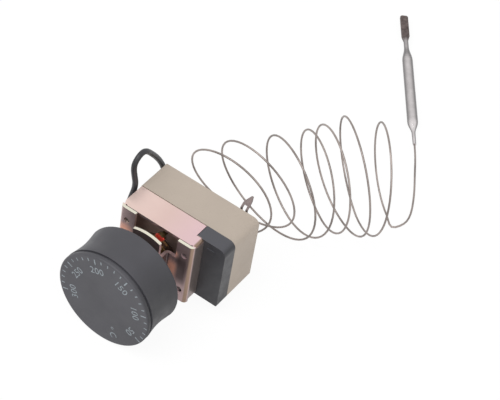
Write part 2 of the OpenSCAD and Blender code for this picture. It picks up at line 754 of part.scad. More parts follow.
// Coil spring between the housing and the contact arm
module return_spring() color("#b9b5aa") {
    turn_steps = 12;
    steps = spring_turns * turn_steps;
    r = (spring_d - spring_wire) / 2;
    swept([for (i = [0:steps]) let (a = 360 * i / turn_steps)
        [spring_x + r * cos(a), spring_y + (spring_end_y - spring_y) * i / steps, r * sin(a)]], spring_wire);
}

// Sensing tube. Each loop of the open coil stands on the floor at its own place: centre, radius,
// bearing and lean of every turn, which the turns in between share in proportion.
tube_z = floor_z + tube_d / 2;
coil_x = [0.5, 6, 19, 27, 34, 42.5, 48, 59];
coil_y = [61, 76, 79, 88, 101, 106.5, 113, 124];
coil_r = [25.5, 26, 28, 25, 26, 28, 30, 25];
coil_bearing = [7, 0, -12, -28, -38, -32, -43, -44];
coil_lean = [-11, -12, -9, 3, -3, -8, -4, 0];
coil_turns = 7;
coil_steps = 10;

function between(list, t) = let (i = min(floor(t), len(list) - 2)) list[i] + (t - i) * (list[i + 1] - list[i]);
function coil_point(t) = let (r = between(coil_r, t), h = r * (1 - cos(360 * t)), s = r * sin(360 * t),
    b = between(coil_bearing, t), l = between(coil_lean, t))
    [between(coil_x, t) + s * cos(b) - h * sin(l) * sin(b), between(coil_y, t) + s * sin(b) + h * sin(l) * cos(b),
     tube_z + h * cos(l)];

// From the capsule's stub down through the lower flange and back under the housing to the coil
lead_in = [[0, stub_y, stub_end_z], [0, stub_y, -18], [0, 12.4, -21.6], [-0.6, 16, -23.9], [-2, 22, tube_z],
           [-6, 34, tube_z], [-9, 46, tube_z], [-9, 55, tube_z], [-5, 60, tube_z]];
// From the coil to the bulb
lead_out = [[65, 119, tube_z], [68.5, 125, tube_z], [67.5, 133, tube_z], [62, 145, tube_z], [55, 157, -24.2],
            [49, 166.6, -22.9]];

bulb_start = [44.2, 173.4, floor_z + bulb_d / 2];
bulb_bearing = 125.2;

module capillary_tube() color("#8c8782") {
    swept(concat(lead_in, [for (i = [0:coil_turns * coil_steps]) coil_point(i / coil_steps)],
        lead_out, [bulb_start]), tube_d);
}

// Smooth step of a turned profile from radius r0 at s0 to radius r1 at s1
function blend(r0, r1, s0, s1) = [for (i = [0:8]) [r0 + (r1 - r0) * (1 - cos(22.5 * i)) / 2, s0 + (s1 - s0) * i / 8]];

// Bulb lying on the floor: sleeve and taper at the tube's end, barrel, neck and flattened tail
module bulb() color("#a9aeb6") {
    sleeve_r = 0.9;
    neck_r = 1.3;
    sleeve_l = 8;
    front_taper = 9;
    back_taper = 11;
    neck_l = 8;
    tail_l = 21;
    tail_sunk = 4;
    taper = [sleeve_l, sleeve_l + front_taper];
    barrel_end = taper[1] + barrel_l;
    neck = [barrel_end + back_taper, barrel_end + back_taper + neck_l];
    tail = [neck[1] - tail_sunk, neck[1] - tail_sunk + tail_l];
    translate(bulb_start) rotate([0, 0, bulb_bearing]) {
        rotate([0, 90, 0]) rotate_extrude($fn = round_fn) polygon(concat([[0, 0], [sleeve_r, 0]],
            blend(sleeve_r + 0.1, bulb_d / 2, taper[0], taper[1]), blend(bulb_d / 2, neck_r, barrel_end, neck[0]),
            [[neck_r, neck[1]], [0, neck[1]]]));
        translate([0, 0, -0.8]) linear_extrude(height = 1.6) polygon([[tail[0], -1], [tail[0] + 4.5, -2.1],
            [tail[1] - 0.8, -2.1], [tail[1], -1.3], [tail[1], 1.3], [tail[1] - 0.8, 2.1], [tail[0] + 4.5, 2.1],
            [tail[0], 1]]);
    }
}

housing();
switch_plate();
bracket();
spindle_bush();
knob();
spindle();
retaining_ring();
stop_arm();
stop_pin();
adjusting_nut();
diaphragm_capsule();
push_pin();
calibration_screw();
contact_arm();
contact_pivot();
arm_terminal();
load_terminal();
return_spring();
terminal_screw();
tie_screws();
jumper_wire();
jumper_lug();
capillary_tube();
bulb();
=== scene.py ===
"""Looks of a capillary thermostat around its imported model: finishes, dial print, sensing tube, wire, light."""

import json
import math

import bmesh
import bpy
from mathutils import Matrix, Vector

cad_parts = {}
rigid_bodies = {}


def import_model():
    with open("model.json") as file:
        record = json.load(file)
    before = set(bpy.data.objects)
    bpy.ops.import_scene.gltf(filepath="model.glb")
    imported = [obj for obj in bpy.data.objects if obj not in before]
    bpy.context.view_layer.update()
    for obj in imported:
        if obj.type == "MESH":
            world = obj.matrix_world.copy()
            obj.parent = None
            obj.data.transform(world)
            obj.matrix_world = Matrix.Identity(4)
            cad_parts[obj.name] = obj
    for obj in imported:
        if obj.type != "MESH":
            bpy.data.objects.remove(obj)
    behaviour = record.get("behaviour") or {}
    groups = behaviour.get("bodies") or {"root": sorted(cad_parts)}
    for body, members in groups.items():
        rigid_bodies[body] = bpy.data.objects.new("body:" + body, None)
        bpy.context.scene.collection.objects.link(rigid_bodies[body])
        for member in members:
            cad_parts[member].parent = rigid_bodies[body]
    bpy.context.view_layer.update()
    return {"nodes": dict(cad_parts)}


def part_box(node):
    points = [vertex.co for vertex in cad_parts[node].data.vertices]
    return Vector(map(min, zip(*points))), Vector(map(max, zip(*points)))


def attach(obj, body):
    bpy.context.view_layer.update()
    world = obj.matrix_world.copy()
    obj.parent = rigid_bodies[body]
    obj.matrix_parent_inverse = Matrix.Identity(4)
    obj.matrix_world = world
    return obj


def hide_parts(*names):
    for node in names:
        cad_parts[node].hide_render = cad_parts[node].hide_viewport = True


bl_info = {
    "name": "Capillary Thermostat Looks",
    "version": (1, 0, 0),
    "blender": (4, 5, 0),
    "location": "View3D > Sidebar > Thermostat",
    "description": "Builds the finishes and fine pieces of a capillary thermostat with a dial knob",
    "category": "Object",
}

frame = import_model()
MM = 0.001
BODY = "thermostat_body"

# Helpers for objects and materials


def deselect():
    """Nothing stays selected, so that an operator acts on the new piece alone."""
    for obj in bpy.context.view_layer.objects:
        obj.select_set(False)
    bpy.context.view_layer.objects.active = None


def activate(obj):
    deselect()
    obj.select_set(True)
    bpy.context.view_layer.objects.active = obj


class Finish:
    """A node-based material with a Principled shader, built up step by step."""

    def __init__(self, name, metallic=0.0, roughness=0.5, specular=0.5):
        self.mat = bpy.data.materials.new(name)
        self.mat.use_nodes = True
        self.tree = self.mat.node_tree
        self.tree.nodes.clear()
        out = self.add("ShaderNodeOutputMaterial")
        self.shader = self.add("ShaderNodeBsdfPrincipled")
        self.link(self.shader.outputs[0], out.inputs[0])
        self.shader.inputs["Metallic"].default_value = metallic
        self.shader.inputs["Roughness"].default_value = roughness
        self.shader.inputs["Specular IOR Level"].default_value = specular
        self.coords = self.add("ShaderNodeTexCoord").outputs["Object"]

    def add(self, kind, **values):
        node = self.tree.nodes.new(kind)
        for key, value in values.items():
            setattr(node, key, value)
        return node

    def link(self, source, target):
        self.tree.links.new(source, target)

    def feed(self, value, socket, as_colour=False):
        """Links an output, or sets a plain value."""
        if hasattr(value, "is_output"):
            self.link(value, socket)
        else:
            socket.default_value = colour_of(value) if as_colour else value

    def mapped(self, scale=(1, 1, 1), rotation=(0, 0, 0), location=(0, 0, 0)):
        node = self.add("ShaderNodeMapping")
        node.inputs["Scale"].default_value = scale
        node.inputs["Rotation"].default_value = rotation
        node.inputs["Location"].default_value = location
        self.link(self.coords, node.inputs["Vector"])
        return node.outputs["Vector"]

    def noise(self, scale, detail=3.0, vector=None, roughness=0.5, distortion=0.0):
        node = self.add("ShaderNodeTexNoise")
        node.inputs["Scale"].default_value = scale
        node.inputs["Detail"].default_value = detail
        node.inputs["Roughness"].default_value = roughness
        node.inputs["Distortion"].default_value = distortion
        self.link(vector or self.coords, node.inputs["Vector"])
        return node.outputs["Fac"]

    def ramp(self, value, stops):
        """Colours or greys at places from 0 to 1."""
        node = self.add("ShaderNodeValToRGB")
        elements = node.color_ramp.elements
        while len(elements) < len(stops):
            elements.new(0.5)
        for element, (place, colour) in zip(elements, stops):
            element.position = place
            element.color = colour_of(colour)
        self.link(value, node.inputs["Fac"])
        return node.outputs["Color"]

    def mix(self, factor, a, b):
        node = self.add("ShaderNodeMix", data_type="RGBA", blend_type="MIX")
        self.link(factor, node.inputs[0])
        self.feed(a, node.inputs[6], as_colour=True)
        self.feed(b, node.inputs[7], as_colour=True)
        return node.outputs[2]

    def math(self, kind, a, b=0.0):
        node = self.add("ShaderNodeMath", operation=kind)
        self.feed(a, node.inputs[0])
        self.feed(b, node.inputs[1])
        return node.outputs[0]

    def span(self, value, low, high, to_low=0.0, to_high=1.0):
        """Maps low..high to to_low..to_high and holds beyond."""
        node = self.add("ShaderNodeMapRange", clamp=True)
        for key, number in (("From Min", low), ("From Max", high), ("To Min", to_low), ("To Max", to_high)):
            node.inputs[key].default_value = number
        self.link(value, node.inputs["Value"])
        return node.outputs["Result"]

    def over(self, value, places):
        """From 0 at the first place to 1 at the second, both in mm."""
        return self.span(value, places[0] * MM, places[1] * MM)

    def strayed(self, value, pattern, reach):
        """A place that strays by a pattern, up to a reach in mm to either side."""
        return self.math("ADD", value, self.span(pattern, 0.0, 1.0, -reach * MM, reach * MM))

    def product(self, *factors):
        result = factors[0]
        for factor in factors[1:]:
            result = self.math("MULTIPLY", result, factor)
        return result

    def normal(self, name):
        """One axis of the surface's direction."""
        return self.axis(self.add("ShaderNodeNewGeometry").outputs["Normal"], name)

    def axis(self, vector, name):
        node = self.add("ShaderNodeSeparateXYZ")
        self.link(vector, node.inputs[0])
        return node.outputs[name]

    def mottled(self, pattern, tone, dark, light, low=0.3, high=0.7):
        """A tone between a darker and a lighter shade of itself."""
        return self.ramp(pattern, ((low, scaled(tone, dark)), (high, scaled(tone, light))))

    def colour(self, value):
        self.link(value, self.shader.inputs["Base Color"])

    def rough(self, pattern, low, high):
        """Roughness that varies with a pattern."""
        self.link(self.span(pattern, 0.3, 0.7, low, high), self.shader.inputs["Roughness"])

    def bump(self, height, strength, distance):
        node = self.add("ShaderNodeBump")
        node.inputs["Strength"].default_value = strength
        node.inputs["Distance"].default_value = distance
        self.link(height, node.inputs["Height"])
        self.link(node.outputs["Normal"], self.shader.inputs["Normal"])
        return self


def colour_of(value):
    if isinstance(value, (int, float)):
        return (value, value, value, 1.0)
    return (value[0], value[1], value[2], 1.0)


def dress(node, finish):
    """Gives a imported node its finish."""
    obj = frame["nodes"][node]
    obj.data.materials.clear()
    obj.data.materials.append(finish.mat)


def scaled(colour, factor):
    return tuple(min(1.0, c * factor) for c in colour[:3])


# Settings


def tint(name, description, default):
    return bpy.props.FloatVectorProperty(name=name, description=description, subtype="COLOR", size=3,
                                         min=0.0, max=1.0, default=default)


def size(name, description, default):
    return bpy.props.FloatProperty(name=name, description=description, subtype="DISTANCE", unit="LENGTH",
                                   min=0.0, default=default)


class DialSettings(bpy.types.PropertyGroup):
    """Print on the dial."""
    ink: tint("Ink", "Colour of the printed numbers and marks", (0.31, 0.35, 0.38))
    number_height: size("Number height", "Height of the printed numbers", 3.5 * MM)
    number_radius: size("Number radius", "Distance of the numbers' centres from the axis", 17.3 * MM)
    tick_radius: size("Tick radius", "Distance of the long marks' centres from the axis", 22.4 * MM)
    tick_length: size("Tick length", "Length of a long mark", 3.0 * MM)
    tick_width: size("Tick width", "Width of a long mark", 0.6 * MM)
    shift: bpy.props.FloatVectorProperty(
        name="Print shift", description="Place of the print's centre on the face",
        subtype="XYZ", size=3, default=(0.5 * MM, 0.0, -0.35 * MM))


class MouldingSettings(bpy.types.PropertyGroup):
    """Colours of the moulded pieces."""
    knob: tint("Knob", "Colour of the knob", (0.069, 0.068, 0.078))
    housing: tint("Housing", "Colour of the housing", (0.500, 0.427, 0.359))
    plate: tint("Plate", "Colour of the switch plate", (0.034, 0.034, 0.039))
    # Painted brown reflection lightening the shaded plate behind the bracket
    painted_reflection: tint("Painted_reflection", "Brown bloom on the plate behind the bracket", (0.40, 0.29, 0.25))
    wire: tint("Wire", "Colour of the wire's insulation", (0.022, 0.022, 0.025))


class MetalSettings(bpy.types.PropertyGroup):
    """Colours of the metal pieces."""
    sheet: tint("Bracket", "Passivated surface of the bracket", (0.85, 0.63, 0.58))
    sheet_left: tint("Bracket, left", "Warm tint at the left end of the flanges", (0.98, 0.76, 0.69))
    sheet_right: tint("Bracket, right", "Violet tint at the right end of the flanges", (0.87, 0.62, 0.66))
    # Painted dark reflection of the knob's back and the shaded floor on the bracket's front faces
    front_reflection: tint("Front_reflection", "Dark film on the bracket's front faces", (0.33, 0.24, 0.24))
    warm: tint("Warm patches", "Orange patches in the dark film", (0.95, 0.46, 0.33))
    # Painted tan highlight on the bends beside the side walls
    bend: tint("Bends", "Tan bends beside the bracket's side walls", (0.37, 0.255, 0.19))
    # Painted brown reflection of the dark plate on the side walls
    side: tint("Side walls", "Brownish side walls of the bracket", (0.40, 0.33, 0.31))
    # Bare cut edges, lightened further by a painted highlight where they face up
    edge: tint("Cut edges", "Bare cut edges of the sheet", (0.92, 0.88, 0.74))
    tube: tint("Tube", "Drawn steel of the sensing tube", (0.33, 0.285, 0.265))
    bulb: tint("Bulb", "Drawn steel of the bulb", (0.84, 0.80, 0.80))
    tail: tint("Tail", "Darkened tail of the bulb", (0.13, 0.105, 0.10))
    steel: tint("Steel", "Zinc-plated small pieces", (0.62, 0.62, 0.61))
    brass: tint("Brass", "Turned brass pieces", (0.68, 0.52, 0.26))
    copper: tint("Copper", "Bare copper alloy", (0.70, 0.40, 0.25))
    capsule: tint("Capsule", "Dark brazed capsule", (0.25, 0.18, 0.15))
    blade: tint("Load terminal", "Oxidised terminal blade", (0.19, 0.155, 0.15))
    lock: tint("Locking paint", "Paint on the calibration screw", (0.62, 0.05, 0.03))


class StageSettings(bpy.types.PropertyGroup):
    """Camera, floor and light."""
    lens: bpy.props.FloatProperty(name="Lens", description="Focal length of the camera",
                                  subtype="DISTANCE_CAMERA", min=20.0, max=300.0, default=134.05)
    floor_z: size("Floor drop", "Depth of the floor under the spindle's axis", 25 * MM)
    floor_tone: bpy.props.FloatProperty(name="Floor", description="Paleness of the floor", min=0.0, max=1.0,
                                        subtype="FACTOR", default=0.9)


# Sensing tube and wire

TUBE_D = 1.0 * MM
# Places down to the bulb's start are in mm. The tube and the bulb lie on the floor.
FLOOR_Z = -25.0
TUBE_Z = FLOOR_Z + 0.5
BULB_R = 2.8
STUB_Y = 11.1
STUB_Z = -11.5
# Each loop of the open coil: centre, radius, bearing and lean, shared between turns in proportion
COIL_X = (0.5, 6, 19, 27, 34, 42.5, 48, 59)
COIL_Y = (61, 76, 79, 88, 101, 106.5, 113, 124)
COIL_R = (25.5, 26, 28, 25, 26, 28, 30, 25)
COIL_BEARING = (7, 0, -12, -28, -38, -32, -43, -44)
COIL_LEAN = (-11, -12, -9, 3, -3, -8, -4, 0)
COIL_TURNS = 7
COIL_STEPS = 48
LEAD_IN = ((0, STUB_Y, STUB_Z), (0, STUB_Y, -18), (0, 12.4, -21.6), (-0.6, 16, -23.9), (-2, 22, TUBE_Z),
           (-6, 34, TUBE_Z), (-9, 46, TUBE_Z), (-9, 55, TUBE_Z), (-5, 60, TUBE_Z))
LEAD_OUT = ((65, 119, TUBE_Z), (68.5, 125, TUBE_Z), (67.5, 133, TUBE_Z), (62, 145, TUBE_Z), (55, 157, -24.2),
            (49, 166.6, -22.9))
LEAD_STEPS = 3
BULB_START = (44.2, 173.4, FLOOR_Z + BULB_R)


def between(values, t):
    i = min(int(t), len(values) - 2)
    return values[i] + (t - i) * (values[i + 1] - values[i])


def coil_point(t):
    turn = 2 * math.pi * t
    r = between(COIL_R, t)
    h = r * (1 - math.cos(turn))
    s = r * math.sin(turn)
    b = math.radians(between(COIL_BEARING, t))
    lean = math.radians(between(COIL_LEAN, t))
    return (between(COIL_X, t) + s * math.cos(b) - h * math.sin(lean) * math.sin(b),
            between(COIL_Y, t) + s * math.sin(b) + h * math.sin(lean) * math.cos(b),
            TUBE_Z + h * math.cos(lean))


def through(points, steps):
    """Points of a smooth curve through the given ones."""
    p = [Vector(q) for q in points]
    last = len(p) - 1
    curve = []
    for i in range(last):
        a, b, c, e = p[max(i - 1, 0)], p[i], p[i + 1], p[min(i + 2, last)]
        for k in range(steps):
            f = k / steps
            curve.append(0.5 * (2 * b + f * (c - a) + f * f * (2 * a - 5 * b + 4 * c - e)
                                + f * f * f * (3 * b - a - 3 * c + e)))
    curve.append(p[last])
    return curve


def curve_tube(name, points_mm, diameter, resolution):
    """A round bar along one open spline."""
    data = bpy.data.curves.new(name, "CURVE")
    data.dimensions = "3D"
    data.bevel_depth = diameter / 2
    data.bevel_resolution = resolution
    data.use_fill_caps = True
    spline = data.splines.new("POLY")
    spline.points.add(len(points_mm) - 1)
    for point, place in zip(spline.points, points_mm):
        point.co = (place[0] * MM, place[1] * MM, place[2] * MM, 1.0)
    obj = bpy.data.objects.new(name, data)
    bpy.context.scene.collection.objects.link(obj)
    return obj


def tube_finish(metals):
    finish = Finish("drawn_tube", metallic=0.85, roughness=0.38)
    patches = finish.noise(90.0, detail=4.0)
    finish.colour(finish.mottled(patches, metals.tube, 0.75, 1.35, low=0.35, high=0.65))
    finish.rough(finish.noise(700.0), 0.3, 0.5)
    return finish.bump(finish.noise(2500.0), 0.15, 0.00005)


class MESH_OT_sensing_tube(bpy.types.Operator):
    """Lay the sensing tube in its open coil behind the housing"""
    bl_idname = "mesh.sensing_tube"
    bl_label = "Sensing Tube"

    def execute(self, context):
        metals = context.scene.thermostat_metals
        coil = [coil_point(i / COIL_STEPS) for i in range(COIL_TURNS * COIL_STEPS + 1)]
        # Both leads are drawn one step into the coil, so that they run on from it, and then cut there
        lead_in = through(LEAD_IN + (coil[0], coil[1]), LEAD_STEPS)[:-LEAD_STEPS]
        lead_out = through((coil[-2], coil[-1]) + LEAD_OUT + (BULB_START,), LEAD_STEPS)[LEAD_STEPS + 1:]
        route = lead_in + [Vector(p) for p in coil] + lead_out
        tube = curve_tube("sensing_tube", route, TUBE_D, resolution=2)
        tube.data.materials.append(tube_finish(metals).mat)
        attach(tube, BODY)
        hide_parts("capillary_tube")
        return {"FINISHED"}


WIRE_D = 2.8 * MM
WIRE_ROUTE = ((-17.6, 18.4, 6), (-21, 18.4, 6), (-22.8, 18.6, 6.5), (-23.7, 19.4, 8.7), (-23.6, 20.6, 12),
              (-23.3, 21.7, 16), (-23.5, 22.2, 19.6), (-24.5, 22.4, 23.2), (-25.3, 22.6, 26.4),
              (-25.6, 23.3, 29.6), (-25.6, 25.6, 32), (-25.6, 28.8, 32.7), (-25.5, 32, 31), (-25.4, 36, 26.6),
              (-25.2, 40, 21.5), (-24.8, 42.8, 17.2), (-24, 44.6, 13.2), (-22.9, 45.5, 8.9), (-21.2, 45.8, 5.6),
              (-19.4, 45.7, 3.4), (-17.6, 45.6, 2.5), (-15.8, 45.6, 2.5), (-14.2, 45.6, 2.5))


class MESH_OT_jumper_wire(bpy.types.Operator):
    """Draw the insulated wire from the switch plate round to the terminal"""
    bl_idname = "mesh.jumper_wire"
    bl_label = "Jumper Wire"

    def execute(self, context):
        mouldings = context.scene.thermostat_mouldings
        wire = curve_tube("jumper_wire_smooth", through(WIRE_ROUTE, 6), WIRE_D, resolution=4)
        activate(wire)
        bpy.ops.object.convert(target="MESH")
        wire = bpy.context.view_layer.objects.active
        bpy.ops.object.shade_smooth_by_angle(angle=math.radians(50))
        finish = Finish("wire_insulation", roughness=0.36)
        finish.colour(finish.mottled(finish.noise(60.0, detail=2.0), mouldings.wire, 0.8, 1.8))
        finish.rough(finish.noise(500.0), 0.3, 0.46)
        finish.bump(finish.noise(1800.0), 0.12, 0.00005)
        wire.data.materials.clear()
        wire.data.materials.append(finish.mat)
        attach(wire, BODY)
        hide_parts("jumper_wire")
        return {"FINISHED"}


# Dial print

FACE_Y = -28.8 * MM
PRINT_T = 0.02 * MM
FIRST_ANGLE = -27.5
STEP_ANGLE = 45.26
NUMBERS = ("50", "100", "150", "200", "250", "300")
SHORT_TICKS = 4
SHORT_TICK_SHARE = 0.55
SHORT_TICK_WIDTH = 0.9            # of a long mark's width
CAPITAL_SHARE = 0.70              # of the font's size that a capital fills
UNIT_ANGLE = -70.0
UNIT_TURN = 100.0                 # from pointing outwards
UNIT_SPACING = 1.5


def on_dial(angle, radius):
    """Place on the dial: angle from +X towards +Z as the dial is seen from the front."""
    turn = math.radians(angle)
    return Vector((radius * math.cos(turn), FACE_Y - PRINT_T, radius * math.sin(turn)))


def upright(angle):
    """Turns a flat piece onto the face, with its top towards an angle."""
    return (Matrix.Rotation(math.radians(90.0 - angle), 4, "Y")
            @ Matrix.Rotation(math.radians(90.0), 4, "X"))


def printed_text(body, angle, radius, height, turned=0.0, spacing=1.05):
    """A flat word whose top points outwards from the dial's centre, or is turned from there."""
    deselect()
    bpy.ops.object.text_add(location=(0, 0, 0))
    text = bpy.context.view_layer.objects.active
    text.data.body = body
    text.data.align_x = "CENTER"
    text.data.align_y = "CENTER"
    text.data.size = height / CAPITAL_SHARE
    text.data.space_character = spacing
    bpy.ops.object.convert(target="MESH")
    text = bpy.context.view_layer.objects.active
    text.data.transform(Matrix.Translation(on_dial(angle, radius)) @ upright(angle + turned))
    return text


def printed_tick(angle, radius, length, width):
    """A flat mark that points at the dial's centre."""
    deselect()
    bpy.ops.mesh.primitive_plane_add(size=1.0, location=(0, 0, 0))
    tick = bpy.context.view_layer.objects.active
    shape = Matrix.Diagonal((width, length, 1.0, 1.0))
    tick.data.transform(Matrix.Translation(on_dial(angle, radius)) @ upright(angle) @ shape)
    return tick


class MESH_OT_dial_print(bpy.types.Operator):
    """Print the numbers, the marks and the unit on the knob's face"""
    bl_idname = "mesh.dial_print"
    bl_label = "Dial Print"

    def execute(self, context):
        dial = context.scene.thermostat_dial
        marks = []
        outer = dial.tick_radius + dial.tick_length / 2
        short = dial.tick_length * SHORT_TICK_SHARE
        for k, number in enumerate(NUMBERS):
            angle = FIRST_ANGLE + k * STEP_ANGLE
            marks.append(printed_tick(angle, dial.tick_radius, dial.tick_length, dial.tick_width))
            marks.append(printed_text(number, angle, dial.number_radius, dial.number_height))
            if k < len(NUMBERS) - 1:
                for i in range(1, SHORT_TICKS + 1):
                    at = angle + STEP_ANGLE * i / (SHORT_TICKS + 1)
                    marks.append(printed_tick(at, outer - short / 2, short, dial.tick_width * SHORT_TICK_WIDTH))
        marks.append(printed_text("°C", UNIT_ANGLE, dial.number_radius, dial.number_height,
                                  UNIT_TURN, UNIT_SPACING))
        for mark in marks:
            mark.data.transform(Matrix.Translation(dial.shift))
        activate(marks[0])
        for mark in marks:
            mark.select_set(True)
        bpy.ops.object.join()
        print_obj = bpy.context.view_layer.objects.active
        print_obj.name = "dial_print"
        mesh = bmesh.new()
        mesh.from_mesh(print_obj.data)
        for face in mesh.faces:
            if face.normal.y > 0:
                face.normal_flip()
        mesh.to_mesh(print_obj.data)
        mesh.free()
        finish = Finish("dial_ink", roughness=0.55)
        wear = finish.noise(900.0, detail=5.0, roughness=0.7)
        finish.colour(finish.ramp(wear, (
            (0.36, scaled(dial.ink, 0.55)), (0.52, dial.ink), (0.8, scaled(dial.ink, 1.2)))))
        finish.rough(wear, 0.48, 0.62)
        print_obj.data.materials.clear()
        print_obj.data.materials.append(finish.mat)
        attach(print_obj, "dial")
        return {"FINISHED"}


# Locking paint

# Waves of its rim: share of the radius, number of waves, phase
DAB_WAVES = ((0.10, 3, 0.7), (0.06, 5, 0.0))
DAB_WIDTH = 1.02                  # of its height
DAB_DEPTH = 0.9 * MM
DAB_FRONT = 0.55 * MM             # where its front is flattened
DAB_SINK = 0.35 * MM


class MESH_OT_locking_paint(bpy.types.Operator):
    """Put a dab of locking paint on the calibration screw"""
    bl_idname = "mesh.locking_paint"
    bl_label = "Locking Paint"

    def execute(self, context):
        low, high = (Vector(v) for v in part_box("calibration_screw"))
        head_r = (high.x - low.x) / 2
        centre = Vector(((low.x + high.x) / 2, low.y, (low.z + high.z) / 2))
        deselect()
        bpy.ops.mesh.primitive_uv_sphere_add(segments=40, ring_count=20, radius=1.0, location=(0, 0, 0))
        paint = bpy.context.view_layer.objects.active
        paint.name = "locking_paint"
        mesh = bmesh.new()
        mesh.from_mesh(paint.data)
        for vert in mesh.verts:
            x, y, z = vert.co
            angle = math.atan2(z, x)
            waviness = sum(share * math.sin(waves * angle + phase) for share, waves, phase in DAB_WAVES)
            rim = head_r * (1.0 + waviness)
            vert.co = centre + Vector((x * DAB_WIDTH * rim, max(-DAB_FRONT, y * DAB_DEPTH) + DAB_SINK, z * rim))
        mesh.to_mesh(paint.data)
        mesh.free()
        activate(paint)
        bpy.ops.object.shade_smooth()
        finish = Finish("locking_paint", roughness=0.3)
        thick = finish.noise(1200.0, detail=2.0)
        finish.colour(finish.mottled(thick, context.scene.thermostat_metals.lock, 0.7, 1.15))
        finish.bump(thick, 0.4, 0.0001)
        paint.data.materials.append(finish.mat)
        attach(paint, BODY)
        return {"FINISHED"}


# Finishes of the imported nodes

# The painted reflection on the plate fades out over these places, in mm
REFLECTION_TO_X = (19.4, 18.6)
REFLECTION_TO_Y = (16.4, 15.9)
CERAMIC_DARK = (0.70, 0.66, 0.57)
CERAMIC_LIGHT = (0.84, 0.80, 0.72)


class MESH_OT_moulded_finishes(bpy.types.Operator):
    """Give the knob, the plate, the housing and the push pin their moulded finishes"""
    bl_idname = "mesh.moulded_finishes"
    bl_label = "Moulded Finishes"

    def execute(self, context):
        tones = context.scene.thermostat_mouldings

        knob = Finish("knob_moulding")
        moulded = knob.mottled(knob.noise(45.0, detail=4.0), tones.knob, 0.88, 1.14)
        # Painted shade: faces turned towards +X are darkened towards half the knob's tone
        painted_shade_right = knob.span(knob.normal("X"), 0.35, 0.95)
        knob.colour(knob.mix(painted_shade_right, moulded, scaled(tones.knob, 0.5)))
        knob.rough(knob.noise(180.0), 0.42, 0.56)
        knob.bump(knob.noise(2600.0, detail=2.0), 0.22, 0.00006)
        dress("knob", knob)

        plate = Finish("plate_moulding", roughness=0.42)
        moulded = plate.mottled(plate.noise(70.0, detail=4.0), tones.plate, 0.8, 1.4)
        # A painted brown reflection on the face behind the bracket's windows, lightening the shade there
        across = plate.math("ABSOLUTE", plate.axis(plate.coords, "X"))
        depth = plate.axis(plate.coords, "Y")
        behind = plate.product(plate.over(across, REFLECTION_TO_X), plate.over(depth, REFLECTION_TO_Y))
        # Painted sheen: faces turned upwards are lighter, up to 2.3 times the plate's tone
        upward = plate.span(plate.normal("Z"), 0.6, 0.95)
        top_sheen = plate.mix(upward, moulded, scaled(tones.plate, 2.3))
        plate.colour(plate.mix(behind, top_sheen, tones.painted_reflection))
        plate.rough(plate.noise(260.0), 0.34, 0.5)
        plate.bump(plate.noise(2200.0, detail=2.0), 0.2, 0.00006)
        dress("switch_plate", plate)

        housing = Finish("housing_moulding", roughness=0.58, specular=0.4)
        base = housing.mottled(housing.noise(38.0, detail=5.0), tones.housing, 0.93, 1.05, low=0.28, high=0.72)
        specks = housing.ramp(housing.noise(1500.0, detail=3.0), ((0.62, 0.0), (0.72, 1.0)))
        housing.colour(housing.mix(housing.product(specks, 0.22), base, scaled(tones.housing, 0.55)))
        housing.rough(housing.noise(300.0), 0.5, 0.66)
        housing.bump(housing.noise(2000.0, detail=3.0), 0.22, 0.00008)
        dress("housing", housing)

        ceramic = Finish("pin_ceramic", roughness=0.6)
        ceramic.colour(ceramic.ramp(ceramic.noise(500.0), ((0.3, CERAMIC_DARK), (0.7, CERAMIC_LIGHT))))
        ceramic.bump(ceramic.noise(3000.0), 0.15, 0.00004)
        dress("push_pin", ceramic)
        return {"FINISHED"}


# Orange patches on the bracket's ears, in mm: X and Z of the centre, and the reach
WARM_PATCHES = ((-16.6, 4.9, 5.2), (10.2, -1.0, 7.0), (11.0, 9.7, 3.2))
PATCH_CORE = 0.3                  # of the reach
# Dark reflection down the right ear, in mm: its middle, then where it fades in
BAND_X = 15.6
BAND_HALF = (3.6, 1.6)
BAND_FOOT_Z = (-9, -4)
BAND_TOP_Z = (12, 7)
# Places on the bracket, in mm, from where a look is absent to where it is full
EAR_X = (6, 9)
EAR_Y = (2, 3)
LEG_X = (8.8, 8.2)
LEG_FRONT_Y = (1.2, 1.8)
LEG_BACK_Y = (9.2, 8.8)
SIDE_X = (17, 18)
STRAP_CUT_Y = (1.6, 1.4)
EAR_CUT_Y = (9.2, 9.0)
EAR_CUT_Z = (14, 15)
# One axis of a face's direction, from where a look is absent to where it is full
FACING_FRONT = (-0.6, -0.95)
FACING_LEVEL = (0.9, 0.7)
FACING_UP = (0.55, 0.75)
BEND_HIGHLIGHT_FROM = (0.12, 0.4)
BEND_HIGHLIGHT_TO = (0.99, 0.85)
FACING_SIDE = (0.9, 0.99)
# Metallic share of the bracket and of its orange patches
SHEET_METALLIC = 0.8
PATCH_METALLIC = 0.2
TURNING_LINES = (1.0, 6.0, 1.0)   # scale of a turned piece's grain
# The bulb lies along this bearing, and its looks change at these distances from its start, in mm
BULB_BEARING = math.radians(125.2)
BULB_NECK = (64.0, 76.0)
BULB_TAIL = (78.0, 81.0)


def turned_metal(name, tone, roughness):
    """Plated or bare metal with fine turning lines and faint stains."""
    finish = Finish(name, metallic=1.0, roughness=roughness)
    finish.colour(finish.mottled(finish.noise(160.0, detail=4.0), tone, 0.8, 1.08))
    grain = finish.noise(900.0, detail=2.0, vector=finish.mapped(scale=TURNING_LINES))
    finish.rough(grain, roughness - 0.08, roughness + 0.1)
    return finish.bump(grain, 0.2, 0.00004)


